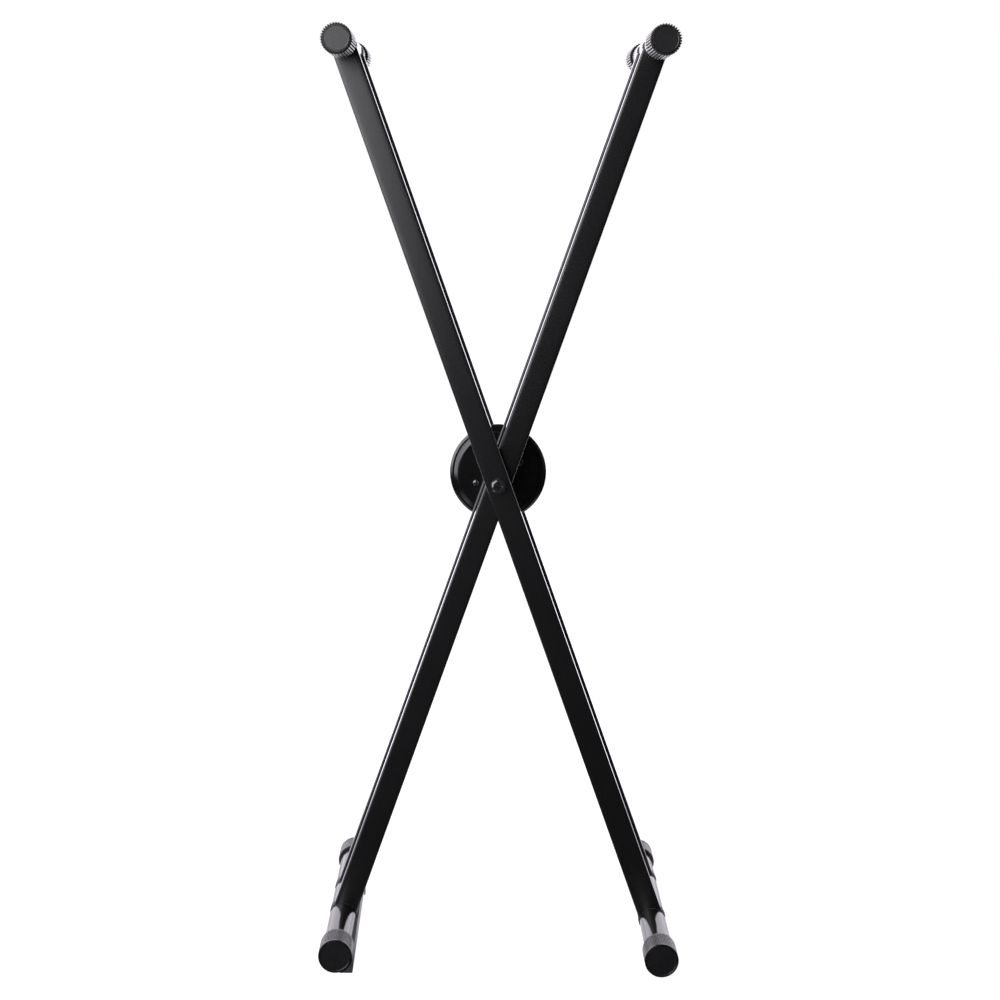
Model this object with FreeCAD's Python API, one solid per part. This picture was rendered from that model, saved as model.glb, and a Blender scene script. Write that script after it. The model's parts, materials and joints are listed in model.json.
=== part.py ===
import FreeCAD, Part
import math
import os

from FreeCAD import Vector

os.makedirs("parts", exist_ok=True)

# A double-braced folding X stand for a keyboard, in millimetres and degrees.
# X runs across the stand, Y from front to back, Z up, with the floor at Z = 0.
# Leg A leans from lower right to upper left, and leg B from lower left to upper right.

# Legs: each has a front and a rear tube of rectangular section
leg_width = 25.8
leg_depth = 18.0
leg_wall = 1.5
leg_corner = 2.5
leg_inner_corner = 1.0
leg_lean = 19.54
pivot_to_arm = 497.0
pivot_to_foot = 509.0

# Arms above and feet below: round bars welded across the ends of a leg's two tubes
arm_diameter = 27.0
foot_diameter = 28.8
bar_wall = 1.5
weld_gap = 0.1
leg_end_gap = 4.0
arm_front_reach = 118.0
arm_rear_reach = 152.5
foot_a_front_reach = 136.0
foot_a_rear_reach = 115.5
foot_b_front_reach = 141.5
foot_b_rear_reach = 152.5

# Fluted rubber grips pushed over the ends of the arms
grip_wall = 2.75
grip_end_wall = 3.0
grip_length = 85.0
grip_flutes = 34
grip_flute_depth = 0.9
grip_land_share = 0.5
grip_end_chamfer = 1.6
grip_mouth_chamfer = 0.5
grip_lip = 1.2
grip_lip_height = 0.4

# Ribbed end caps pushed over the ends of the feet
cap_wall = 3.3
cap_end_wall = 3.0
cap_length = 40.0
cap_ribs = 66
cap_rib_depth = 0.4
cap_land_share = 0.55
cap_smooth_band = 3.0
cap_edge_chamfer = 0.6
cap_lip = 1.4
cap_lip_height = 0.4

# Flat-bottomed strip along the inner underside of leg B's foot, and its screw
sole_under_rear_tube = 53.0
sole_gap = 0.15
sole_edge = 0.45
sole_top_drop = 1.0
sole_screw_inset = 15.0
sole_screw_height = 8.0
sole_screw_diameter = 4.0
sole_screw_length = 11.0
sole_head_diameter = 10.0
sole_head_height = 2.2
sole_head_round = 1.3

# Pivot bolt, its bushes and what lies between the tubes on it
bolt_diameter = 10.0
running_gap = 0.05
head_across_flats = 15.0
head_height = 5.5
head_chamfer = 0.8
recess_length = 8.0
recess_width = 1.8
recess_depth = 2.4
bolt_tail = 2.0
sleeve_wall = 1.95
fit_gap = 0.05
slip_washer_thickness = 1.0
slip_washer_diameter = 24.0
spacer_length = 75.0
spacer_wall = 4.0

# Friction clutch between the two rear tubes
cover_diameter = 108.5
cover_floor = 2.0
cover_bevel_depth = 2.0
cover_outer_bevel = 2.5
cover_step = 2.5
cover_inner_bevel = 3.5
cover_rim_gap = 1.0
backing_thickness = 3.0
lining_thickness = 3.0
lining_bore = 36.0
pocket_gap = 0.3
plate_thickness = 4.0
plate_diameter = 104.0
plate_chamfer = 1.5
clutch_screw_count = 4
clutch_screw_diameter = 4.0
clutch_screw_head_diameter = 7.0
clutch_screw_head_height = 2.2
clutch_screw_head_round = 0.8
clutch_screw_leg_gap = 3.0
clutch_screw_tip_gap = 0.5

# Clamp knob and washers behind the rear tube of leg A
thrust_washer_thickness = 1.5
thrust_washer_diameter = 22.0
spring_washer_thickness = 2.0
spring_washer_diameter = 18.0
spring_washer_slit = 1.5
knob_diameter = 56.0
knob_depth = 19.0
knob_lobes = 7
knob_lobe_depth = 4.0
knob_land_share = 0.45
knob_edge_chamfer = 3.0
knob_boss_diameter = 26.0
knob_boss_height = 3.0
nut_across_flats = 17.0
nut_height = 8.0
nut_tail_gap = 1.0
knob_cap_diameter = 24.0
knob_cap_thickness = 2.5
knob_cap_chamfer = 0.6

# Radii that follow from the sizes above
arm_radius = arm_diameter / 2
foot_radius = foot_diameter / 2
grip_bore_radius = arm_radius + fit_gap
cap_bore_radius = foot_radius + fit_gap
grip_radius = grip_bore_radius + grip_wall
cap_radius = cap_bore_radius + cap_wall
bolt_radius = bolt_diameter / 2
bearing_radius = bolt_radius + running_gap
sleeve_radius = bearing_radius + sleeve_wall
spacer_radius = bearing_radius + spacer_wall

# Heights and side offsets of the pivot, the arms and the feet
lean = math.radians(leg_lean)
foot_height = cap_radius
pivot_height = foot_height + pivot_to_foot * math.cos(lean)
arm_height = pivot_height + pivot_to_arm * math.cos(lean)
arm_offset = pivot_to_arm * math.sin(lean)
foot_offset = pivot_to_foot * math.sin(lean)

# Depths of the nested legs, and the front of leg A that puts the stand's middle at Y = 0
clutch_depth = cover_floor + backing_thickness + lining_thickness + plate_thickness
leg_b_setback = leg_depth + slip_washer_thickness
leg_b_span = leg_depth + spacer_length + leg_depth
leg_a_span = leg_b_setback + leg_b_span + clutch_depth + leg_depth
front_most = max(arm_front_reach + grip_end_wall,
                 foot_a_front_reach + cap_end_wall,
                 foot_b_front_reach + cap_end_wall - leg_b_setback)
rear_most = max(leg_a_span + arm_rear_reach + grip_end_wall,
                leg_a_span + foot_a_rear_reach + cap_end_wall,
                leg_b_setback + leg_b_span + foot_b_rear_reach + cap_end_wall)
leg_a_front = (front_most - rear_most) / 2

# Stations along the pivot axis, from the front tube of leg A to the knob
leg_a_front_back = leg_a_front + leg_depth
leg_b_front = leg_a_front_back + slip_washer_thickness
leg_b_front_back = leg_b_front + leg_depth
leg_b_rear = leg_b_front_back + spacer_length
leg_b_rear_back = leg_b_rear + leg_depth
backing_front = leg_b_rear_back + cover_floor
lining_front = backing_front + backing_thickness
plate_front = lining_front + lining_thickness
cover_back = plate_front - cover_rim_gap
leg_a_rear = plate_front + plate_thickness
leg_a_rear_back = leg_a_rear + leg_depth
spring_washer_front = leg_a_rear_back + thrust_washer_thickness
knob_front = spring_washer_front + spring_washer_thickness
knob_body_front = knob_front + knob_boss_height
knob_back = knob_body_front + knob_depth
nut_back = knob_front + nut_height
bolt_end = nut_back + bolt_tail

arm_front_end = leg_a_front - arm_front_reach
arm_back_end = leg_a_rear_back + arm_rear_reach
foot_a_front_end = leg_a_front - foot_a_front_reach
foot_a_back_end = leg_a_rear_back + foot_a_rear_reach
foot_b_front_end = leg_b_front - foot_b_front_reach
foot_b_back_end = leg_b_rear_back + foot_b_rear_reach
sole_front = foot_b_front_end - cap_end_wall
sole_back = leg_b_rear + sole_under_rear_tube


def export(name, shape):
    shape.exportStep("parts/" + name + ".step")


def cylinder(radius, start, end, x=0.0, z=0.0):
    # Round bar along Y from start to end
    return Part.makeCylinder(radius, end - start, Vector(x, start, z), Vector(0, 1, 0))


def ring(outer, inner, start, end, x=0.0, z=0.0):
    return cylinder(outer, start, end, x, z).cut(cylinder(inner, start, end, x, z))


def turned(outline, x=0.0, z=0.0):
    # An outline of radius and Y, spun round an axis along Y
    corners = [Vector(x + radius, y, z) for radius, y in outline]
    face = Part.Face(Part.makePolygon(corners + corners[:1]))
    return face.revolve(Vector(x, 0, z), Vector(0, 1, 0), 360)


def fluted(radius, depth, count, land_share, start, end, x=0.0, z=0.0):
    # A bar along Y with round lands and hollow grooves, one land pointing straight down
    pitch = 2 * math.pi / count
    half_land = land_share * pitch / 2

    def point(distance, angle):
        return Vector(x + distance * math.cos(angle), start, z + distance * math.sin(angle))

    edges = []
    for index in range(count):
        middle = index * pitch - math.pi / 2
        land_start = point(radius, middle - half_land)
        land_end = point(radius, middle + half_land)
        next_land = point(radius, middle + pitch - half_land)
        edges.append(Part.Arc(land_start, point(radius, middle), land_end).toShape())
        edges.append(Part.Arc(land_end, point(radius - depth, middle + pitch / 2), next_land).toShape())
    return Part.Face(Part.Wire(edges)).extrude(Vector(0, end - start, 0))


def hexagon(across_flats, start, end, z):
    # Six-sided bar along Y with a corner pointing up
    corner_radius = across_flats / math.sqrt(3)
    corners = []
    for index in range(7):
        angle = math.pi / 2 + index * math.pi / 3
        corners.append(Vector(corner_radius * math.cos(angle), start, z + corner_radius * math.sin(angle)))
    return Part.Face(Part.makePolygon(corners)).extrude(Vector(0, end - start, 0))


def rounded_bar(width, depth, corner, front, bottom, top):
    # Upright rectangular bar with round corners, its front face at Y = front
    back = front + depth
    side = width / 2
    inset = corner * (1 - math.sqrt(0.5))
    outline = [
        Part.LineSegment(Vector(-side + corner, front, bottom), Vector(side - corner, front, bottom)),
        Part.Arc(Vector(side - corner, front, bottom), Vector(side - inset, front + inset, bottom),
                 Vector(side, front + corner, bottom)),
        Part.LineSegment(Vector(side, front + corner, bottom), Vector(side, back - corner, bottom)),
        Part.Arc(Vector(side, back - corner, bottom), Vector(side - inset, back - inset, bottom),
                 Vector(side - corner, back, bottom)),
        Part.LineSegment(Vector(side - corner, back, bottom), Vector(-side + corner, back, bottom)),
        Part.Arc(Vector(-side + corner, back, bottom), Vector(-side + inset, back - inset, bottom),
                 Vector(-side, back - corner, bottom)),
        Part.LineSegment(Vector(-side, back - corner, bottom), Vector(-side, front + corner, bottom)),
        Part.Arc(Vector(-side, front + corner, bottom), Vector(-side + inset, front + inset, bottom),
                 Vector(-side + corner, front, bottom)),
    ]
    wire = Part.Wire([edge.toShape() for edge in outline])
    return Part.Face(wire).extrude(Vector(0, 0, top - bottom))


def leg_tube(front, lean_angle):
    # A hollow leg tube with a saddle at each end for the arm and the foot, and the bush hole
    back = front + leg_depth
    bottom = leg_end_gap - pivot_to_foot
    top = pivot_to_arm - leg_end_gap
    tube = rounded_bar(leg_width, leg_depth, leg_corner, front, bottom, top)
    hollow = rounded_bar(leg_width - 2 * leg_wall, leg_depth - 2 * leg_wall, leg_inner_corner,
                         front + leg_wall, bottom, top)
    tube = tube.cut(hollow)
    tube = tube.cut(cylinder(arm_radius + weld_gap, front, back, 0.0, pivot_to_arm))
    tube = tube.cut(cylinder(foot_radius + weld_gap, front, back, 0.0, -pivot_to_foot))
    tube = tube.cut(cylinder(sleeve_radius + fit_gap, front, back))
    tube.rotate(Vector(0, 0, 0), Vector(0, 1, 0), lean_angle)
    tube.translate(Vector(0, 0, pivot_height))
    return tube


def grip(end, inward, x):
    # Fluted sleeve closed at its outer end, where a low lip runs round the flat face
    mouth = end + inward * grip_length
    envelope = turned([
        (0.0, end),
        (grip_radius - grip_end_chamfer, end),
        (grip_radius, end + inward * grip_end_chamfer),
        (grip_radius, mouth - inward * grip_mouth_chamfer),
        (grip_radius - grip_mouth_chamfer, mouth),
        (0.0, mouth),
    ], x, arm_height)
    body = fluted(grip_radius, grip_flute_depth, grip_flutes, grip_land_share,
                  min(end, mouth), max(end, mouth), x, arm_height)
    face_radius = grip_radius - grip_end_chamfer - grip_lip
    return close_over_bar(body.common(envelope), grip_bore_radius, end, mouth, inward, grip_end_wall,
                          face_radius, grip_lip_height, x, arm_height)


def cap(end, inward, x):
    # Ribbed sleeve closed at its outer end by a smooth rim with a low lip round the flat face
    mouth = end + inward * cap_length
    ribs_start = end + inward * cap_smooth_band
    rim = turned([
        (0.0, end),
        (cap_radius - cap_edge_chamfer, end),
        (cap_radius, end + inward * cap_edge_chamfer),
        (cap_radius, ribs_start),
        (0.0, ribs_start),
    ], x, foot_height)
    ribs = fluted(cap_radius, cap_rib_depth, cap_ribs, cap_land_share,
                  min(ribs_start, mouth), max(ribs_start, mouth), x, foot_height)
    face_radius = cap_radius - cap_edge_chamfer - cap_lip
    return close_over_bar(rim.fuse(ribs), cap_bore_radius, end, mouth, inward, cap_end_wall,
                          face_radius, cap_lip_height, x, foot_height)


def close_over_bar(body, bore_radius, end, mouth, inward, end_wall, face_radius, lip_height, x, z):
    # Bores a sleeve to fit its bar and sinks its outer face inside the lip
    floor = end + inward * end_wall
    sunk = end + inward * lip_height
    body = body.cut(cylinder(bore_radius, min(floor, mouth), max(floor, mouth), x, z))
    return body.cut(cylinder(face_radius, min(end, sunk), max(end, sunk), x, z))


def pan_screw(head_radius, head_height, head_round, shank_radius, length):
    # Screw along Y: its head lies before Y = 0 and its shank behind
    screw = turned([
        (0.0, -head_height),
        (head_radius - head_round, -head_height),
        (head_radius, head_round - head_height),
        (head_radius, 0.0),
        (shank_radius, 0.0),
        (shank_radius, length),
        (0.0, length),
    ])
    slot_length = head_radius
    slot_width = head_radius / 4
    slot_depth = head_height / 2
    return screw.cut(cross(slot_length, slot_width, slot_depth, -head_height, 0.0))


def cross(length, width, depth, start, z):
    # Cross recess sunk along Y from start
    upright = Part.makeBox(width, depth, length, Vector(-width / 2, start, z - length / 2))
    level = Part.makeBox(length, depth, width, Vector(-length / 2, start, z - width / 2))
    return upright.fuse(level)


# Both legs: tubes, bushes, arms, feet, grips and caps
legs = (
    ("leg_a", -1, leg_a_front, leg_a_rear, foot_a_front_end, foot_a_back_end),
    ("leg_b", 1, leg_b_front, leg_b_rear, foot_b_front_end, foot_b_back_end),
)
sole_screw_y = sole_back - sole_screw_inset
sole_inner_face = cap_radius + sole_gap + sole_edge - foot_offset
sole_screw_axis = (Vector(sole_inner_face, sole_screw_y, sole_screw_height), Vector(-1, 0, 0))

for leg, side, front, rear, foot_front_end, foot_back_end in legs:
    arm_x = side * arm_offset
    foot_x = -side * foot_offset
    export(leg + "_front_tube", leg_tube(front, side * leg_lean))
    export(leg + "_rear_tube", leg_tube(rear, side * leg_lean))
    export(leg + "_front_sleeve", ring(sleeve_radius, bearing_radius, front, front + leg_depth, 0.0, pivot_height))
    export(leg + "_rear_sleeve", ring(sleeve_radius, bearing_radius, rear, rear + leg_depth, 0.0, pivot_height))

    arm = ring(arm_radius, arm_radius - bar_wall, arm_front_end, arm_back_end, arm_x, arm_height)
    export(leg + "_arm_tube", arm)
    export(leg + "_arm_front_grip", grip(arm_front_end - grip_end_wall, 1, arm_x))
    export(leg + "_arm_rear_grip", grip(arm_back_end + grip_end_wall, -1, arm_x))

    foot = ring(foot_radius, foot_radius - bar_wall, foot_front_end, foot_back_end, foot_x, foot_height)
    if leg == "leg_b":
        screw_hole = Part.makeCylinder(sole_screw_diameter / 2 + fit_gap, sole_screw_length, *sole_screw_axis)
        foot = foot.cut(screw_hole)
    export(leg + "_foot_tube", foot)
    export(leg + "_foot_front_cap", cap(foot_front_end - cap_end_wall, 1, foot_x))
    export(leg + "_foot_rear_cap", cap(foot_back_end + cap_end_wall, -1, foot_x))

# Sole strip: a square corner that hugs the front cap and then the bar of leg B's foot
sole_under_cap = cap_radius + sole_gap
sole_outer_edge = math.sqrt(sole_under_cap ** 2 - (cap_radius - sole_edge) ** 2) - foot_offset
sole = Part.makeBox(sole_inner_face - sole_outer_edge, sole_back - sole_front, foot_height - sole_top_drop,
                    Vector(sole_outer_edge, sole_front, 0.0))
sole = sole.cut(cylinder(sole_under_cap, sole_front, sole_front + cap_length + sole_gap, -foot_offset, foot_height))
sole = sole.cut(cylinder(foot_radius + weld_gap, sole_front, sole_back, -foot_offset, foot_height))
sole = sole.cut(Part.makeCylinder(sole_screw_diameter / 2 + fit_gap, sole_screw_length, *sole_screw_axis))
export("foot_sole_strip", sole)

sole_screw = pan_screw(sole_head_diameter / 2, sole_head_height, sole_head_round,
                       sole_screw_diameter / 2, sole_screw_length)
sole_screw.rotate(Vector(0, 0, 0), Vector(0, 0, 1), 90)
sole_screw.translate(sole_screw_axis[0])
export("sole_screw", sole_screw)

# Pivot bolt: hexagon head with a turned edge and a cross recess
head_front = leg_a_front - head_height
head_corner = head_across_flats / math.sqrt(3)
head = hexagon(head_across_flats, head_front, leg_a_front, pivot_height)
head = head.common(turned([
    (0.0, head_front),
    (head_across_flats / 2, head_front),
    (head_corner + running_gap, head_front + head_chamfer),
    (head_corner + running_gap, leg_a_front),
    (0.0, leg_a_front),
], 0.0, pivot_height))
bolt = head.fuse(cylinder(bolt_radius, leg_a_front, bolt_end, 0.0, pivot_height))
bolt = bolt.cut(cross(recess_length, recess_width, recess_depth, head_front, pivot_height))
export("pivot_bolt", bolt)

export("slip_washer", ring(slip_washer_diameter / 2, bearing_radius, leg_a_front_back, leg_b_front, 0.0, pivot_height))
export("pivot_spacer", ring(spacer_radius, bearing_radius, leg_b_front_back, leg_b_rear, 0.0, pivot_height))

# Clutch cover: a shallow dish, its front edge stepped down in two bevels
cover_radius = cover_diameter / 2
cover_step_outer = cover_radius - cover_outer_bevel
cover_step_inner = cover_step_outer - cover_step
cover_face_radius = cover_step_inner - cover_inner_bevel
cover_step_y = leg_b_rear_back + cover_bevel_depth
cover = turned([
    (bearing_radius, leg_b_rear_back),
    (cover_face_radius, leg_b_rear_back),
    (cover_step_inner, cover_step_y),
    (cover_step_outer, cover_step_y),
    (cover_radius, cover_step_y + cover_bevel_depth),
    (cover_radius, cover_back),
    (cover_face_radius, cover_back),
    (cover_face_radius, backing_front),
    (bearing_radius, backing_front),
], 0.0, pivot_height)

# Screws of the clutch stand clear of the leg tube, on its two diagonals
screw_offset = leg_width / 2 + clutch_screw_head_diameter / 2 + clutch_screw_leg_gap
screw_circle = screw_offset * math.sqrt(2)
clutch_screw_length = cover_floor + backing_thickness - clutch_screw_tip_gap
backing = ring(cover_face_radius - pocket_gap, bearing_radius, backing_front, lining_front, 0.0, pivot_height)
clutch_screws = []
for index in range(clutch_screw_count):
    angle = lean + math.pi / 4 + index * 2 * math.pi / clutch_screw_count
    x = screw_circle * math.sin(angle)
    z = pivot_height + screw_circle * math.cos(angle)
    hole = cylinder(clutch_screw_diameter / 2 + fit_gap, leg_b_rear_back, leg_b_rear_back + clutch_screw_length, x, z)
    cover = cover.cut(hole)
    backing = backing.cut(hole)
    screw = pan_screw(clutch_screw_head_diameter / 2, clutch_screw_head_height, clutch_screw_head_round,
                      clutch_screw_diameter / 2, clutch_screw_length)
    screw.translate(Vector(x, leg_b_rear_back, z))
    clutch_screws.append(screw)
export("clutch_cover", cover)
export("clutch_backing", backing)
export("clutch_screws", Part.makeCompound(clutch_screws))
export("clutch_lining", ring(cover_face_radius - pocket_gap, lining_bore / 2, lining_front, plate_front, 0.0, pivot_height))

plate_radius = plate_diameter / 2
export("clutch_plate", turned([
    (bearing_radius, plate_front),
    (plate_radius, plate_front),
    (plate_radius, leg_a_rear - plate_chamfer),
    (plate_radius - plate_chamfer, leg_a_rear),
    (bearing_radius, leg_a_rear),
], 0.0, pivot_height))

# Washers under the knob, the second one split
export("thrust_washer", ring(thrust_washer_diameter / 2, bearing_radius, leg_a_rear_back, spring_washer_front,
                             0.0, pivot_height))
spring_washer = ring(spring_washer_diameter / 2, bearing_radius, spring_washer_front, knob_front, 0.0, pivot_height)
slit = Part.makeBox(spring_washer_slit, spring_washer_thickness, spring_washer_diameter,
                    Vector(-spring_washer_slit / 2, spring_washer_front, pivot_height))
export("spring_washer", spring_washer.cut(slit))

# Clamp knob: a lobed grip on a boss, with a nut in front and a cover disc behind
knob_radius = knob_diameter / 2
knob_envelope = turned([
    (0.0, knob_body_front),
    (knob_radius - knob_edge_chamfer, knob_body_front),
    (knob_radius, knob_body_front + knob_edge_chamfer),
    (knob_radius, knob_back - knob_edge_chamfer),
    (knob_radius - knob_edge_chamfer, knob_back),
    (0.0, knob_back),
], 0.0, pivot_height)
knob = fluted(knob_radius, knob_lobe_depth, knob_lobes, knob_land_share, knob_body_front, knob_back, 0.0, pivot_height)
knob = knob.common(knob_envelope)
knob = knob.fuse(cylinder(knob_boss_diameter / 2, knob_front, knob_body_front, 0.0, pivot_height))
knob = knob.cut(hexagon(nut_across_flats + 2 * fit_gap, knob_front, nut_back, pivot_height))
knob = knob.cut(cylinder(bearing_radius, nut_back, bolt_end + nut_tail_gap, 0.0, pivot_height))
knob_cap_front = knob_back - knob_cap_thickness
knob_cap_radius = knob_cap_diameter / 2
knob = knob.cut(cylinder(knob_cap_radius + fit_gap, knob_cap_front, knob_back, 0.0, pivot_height))
export("knob_body", knob)

nut = hexagon(nut_across_flats, knob_front, nut_back, pivot_height)
export("knob_nut", nut.cut(cylinder(bearing_radius, knob_front, nut_back, 0.0, pivot_height)))
export("knob_cap", turned([
    (0.0, knob_cap_front),
    (knob_cap_radius, knob_cap_front),
    (knob_cap_radius, knob_back - knob_cap_chamfer),
    (knob_cap_radius - knob_cap_chamfer, knob_back),
    (0.0, knob_back),
], 0.0, pivot_height))
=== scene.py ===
import json
import math

import bpy
import numpy as np
from mathutils import Matrix, Vector


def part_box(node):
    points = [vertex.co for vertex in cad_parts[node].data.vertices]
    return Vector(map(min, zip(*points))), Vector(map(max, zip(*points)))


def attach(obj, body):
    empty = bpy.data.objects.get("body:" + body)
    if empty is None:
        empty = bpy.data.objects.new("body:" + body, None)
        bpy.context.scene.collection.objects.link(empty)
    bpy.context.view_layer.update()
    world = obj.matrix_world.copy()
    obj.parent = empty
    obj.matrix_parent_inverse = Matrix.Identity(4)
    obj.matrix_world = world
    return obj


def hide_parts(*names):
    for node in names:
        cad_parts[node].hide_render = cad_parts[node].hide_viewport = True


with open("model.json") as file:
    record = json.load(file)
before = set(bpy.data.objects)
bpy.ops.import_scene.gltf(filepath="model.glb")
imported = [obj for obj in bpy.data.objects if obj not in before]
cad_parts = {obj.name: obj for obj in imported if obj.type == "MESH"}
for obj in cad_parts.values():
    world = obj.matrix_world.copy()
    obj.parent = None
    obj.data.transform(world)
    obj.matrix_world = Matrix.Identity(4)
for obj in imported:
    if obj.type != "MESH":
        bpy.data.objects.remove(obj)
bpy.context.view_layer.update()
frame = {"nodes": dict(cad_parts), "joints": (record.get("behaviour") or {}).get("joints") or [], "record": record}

nodes = frame["nodes"]
slotOf = {row["node"]: row["material_slot"] for row in frame["record"]["subparts"]}
mm = 0.001
print("frame loaded with", len(nodes), "nodes")


class Wire:
    # one socket; arithmetic on it adds Math nodes to its tree
    def __init__(self, finish, socket):
        self.finish = finish
        self.socket = socket

    def __add__(self, other):
        return self.finish.math("ADD", self, other)

    def __radd__(self, other):
        return self.finish.math("ADD", other, self)

    def __sub__(self, other):
        return self.finish.math("SUBTRACT", self, other)

    def __rsub__(self, other):
        return self.finish.math("SUBTRACT", other, self)

    def __mul__(self, other):
        return self.finish.math("MULTIPLY", self, other)

    def __rmul__(self, other):
        return self.finish.math("MULTIPLY", other, self)


class Finish:
    # a node tree under way: make() adds any node, sets it up, then fills its sockets
    def __init__(self, tree):
        self.tree = tree
        tree.nodes.clear()

    def make(self, kind, settings=None, values=None):
        made = self.tree.nodes.new(kind)
        for key, setting in (settings or {}).items():
            setattr(made, key, setting)
        for key, value in (values or {}).items():
            if isinstance(value, Wire):
                self.tree.links.new(value.socket, made.inputs[key])
            else:
                made.inputs[key].default_value = value
        return made

    def node(self, kind, settings=None, values=None, output=0):
        made = self.make(kind, settings, values)
        return Wire(self, made.outputs[output]) if made.outputs else None

    def math(self, operation, *terms):
        return self.node("ShaderNodeMath", {"operation": operation}, dict(enumerate(terms)))

    def ease(self, value, start, stop, low=0.0, high=1.0):
        # smooth step from low at start to high at stop
        return self.node("ShaderNodeMapRange", {"interpolation_type": "SMOOTHSTEP"},
                         {"Value": value, "From Min": start, "From Max": stop, "To Min": low, "To Max": high})

    def split(self, vector):
        made = self.make("ShaderNodeSeparateXYZ", None, {0: vector})
        return [Wire(self, socket) for socket in made.outputs]

    def rays(self, *names):
        made = self.make("ShaderNodeLightPath")
        return [Wire(self, made.outputs[name]) for name in names]

    def place(self):
        return self.node("ShaderNodeTexCoord", output=3)

    def noise(self, size, detail=2.0, stretch=None):
        # cloudy noise whose lumps are about size metres across
        where = self.place()
        if stretch:
            where = self.node("ShaderNodeMapping", None, {"Vector": where, "Scale": stretch})
        return self.node("ShaderNodeTexNoise", None, {"Vector": where, "Scale": 1 / size, "Detail": detail})

    def tint(self, share, first, second):
        return self.node("ShaderNodeMix", {"data_type": "RGBA"},
                         {0: share, 6: (*first, 1), 7: (*second, 1)}, output=2)


def newFinish(name):
    material = bpy.data.materials.new(name)
    material.use_nodes = True
    return material, Finish(material.node_tree)


def closeFinish(finish, values):
    shader = finish.node("ShaderNodeBsdfPrincipled", None, values)
    finish.node("ShaderNodeOutputMaterial", None, {"Surface": shader})


coatMix = {"depth": 0.05 * mm, "speckRelief": 0.35, "cloudTint": 0.6, "speckTint": 0.4, "sideFrom": 0.3,
           "sideTo": 0.8}


def coatFinish(name, look):
    # sprayed coat: orange peel in the relief, clouds in the gloss, a breath of lighter dust in the colour
    material, finish = newFinish(name)
    peel = finish.noise(look["peel"], detail=1.0)
    cloud = finish.noise(look["cloud"], detail=3.0)
    speck = finish.noise(look["speck"])
    relief = finish.node("ShaderNodeBump", None, {"Strength": look["relief"], "Distance": coatMix["depth"],
                                                  "Height": peel + speck * coatMix["speckRelief"]})
    dull = look["gloss"] + (cloud - 0.5) * look["glossDrift"] + (speck - 0.5) * look["glossDrift"]
    if "sideGloss" in look:
        # the narrow sides, which do not point along Y, are smoother than the broad faces
        normal = finish.node("ShaderNodeTexCoord", output=1)
        facing = finish.math("ABSOLUTE", finish.split(normal)[1])
        dull = dull + finish.ease(facing, coatMix["sideFrom"], coatMix["sideTo"],
                                  look["sideGloss"] - look["gloss"], 0.0)
    share = cloud * coatMix["cloudTint"] + speck * coatMix["speckTint"]
    closeFinish(finish, {
        "Base Color": finish.tint(share, look["dark"], look["light"]),
        "Roughness": dull,
        "Metallic": look.get("metal", 0.0),
        "Coat Weight": look.get("coat", 0.0),
        "Coat Roughness": look.get("coatGloss", 0.1),
        "Normal": relief,
    })
    return material


mouldMix = {"depth": 0.08 * mm, "fineSize": 0.45, "grainRelief": 0.7, "fineRelief": 0.5, "bloomTint": 0.7,
            "fineTint": 0.3, "fineGloss": 0.05}


def mouldedFinish(name, look):
    # moulded rubber or plastic: spark-eroded grain, flow clouds and a faint grey bloom
    material, finish = newFinish(name)
    grain = finish.node("ShaderNodeTexVoronoi", {"feature": "SMOOTH_F1"},
                        {"Vector": finish.place(), "Scale": 1 / look["grain"]})
    fine = finish.noise(look["grain"] * mouldMix["fineSize"])
    bloom = finish.noise(look["bloom"], detail=4.0)
    height = grain * mouldMix["grainRelief"] + fine * mouldMix["fineRelief"]
    relief = finish.node("ShaderNodeBump", None, {"Strength": look["relief"], "Distance": mouldMix["depth"],
                                                  "Height": height})
    dull = look["gloss"] + (bloom - 0.5) * look["glossDrift"] + (fine - 0.5) * mouldMix["fineGloss"]
    if "crest" in look:
        # the valleys between the ridges of a fluted sleeve stay matte
        x, z = finish.split(finish.place())[::2]
        across = finish.math("ABSOLUTE", x) - look["axis"][0]
        up = z - look["axis"][1]
        radius = finish.math("SQRT", across * across + up * up)
        hollow = finish.node("ShaderNodeMapRange", None, {
            "Value": radius, "From Min": look["valley"], "From Max": look["crest"],
            "To Min": 1.0, "To Max": 0.0})
        outside = finish.math("GREATER_THAN", radius, look["face"])
        dull = dull + hollow * outside * look["valleyDull"]
    share = bloom * mouldMix["bloomTint"] + fine * mouldMix["fineTint"]
    closeFinish(finish, {
        "Base Color": finish.tint(share, look["dark"], look["light"]),
        "Roughness": dull,
        "Metallic": 0.0,
        "Normal": relief,
    })
    return material


metalMix = {"depth": 0.03 * mm, "stretch": (0.06, 1.0, 0.06), "cloudTint": 0.7, "lineTint": 0.3,
            "lineGloss": 0.12, "cloudGloss": 0.1}


def metalFinish(name, look):
    # machined metal: fine tool lines across the turning axis, stained by slow clouds
    material, finish = newFinish(name)
    lines = finish.noise(look["line"], stretch=metalMix["stretch"])
    cloud = finish.noise(look["cloud"], detail=3.0)
    relief = finish.node("ShaderNodeBump", None, {"Strength": look["relief"], "Distance": metalMix["depth"],
                                                  "Height": lines})
    share = cloud * metalMix["cloudTint"] + lines * metalMix["lineTint"]
    dull = look["gloss"] + (lines - 0.5) * metalMix["lineGloss"] + (cloud - 0.5) * metalMix["cloudGloss"]
    closeFinish(finish, {
        "Base Color": finish.tint(share, look["dark"], look["light"]),
        "Roughness": dull,
        "Metallic": 1.0,
        "Normal": relief,
    })
    return material


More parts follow.
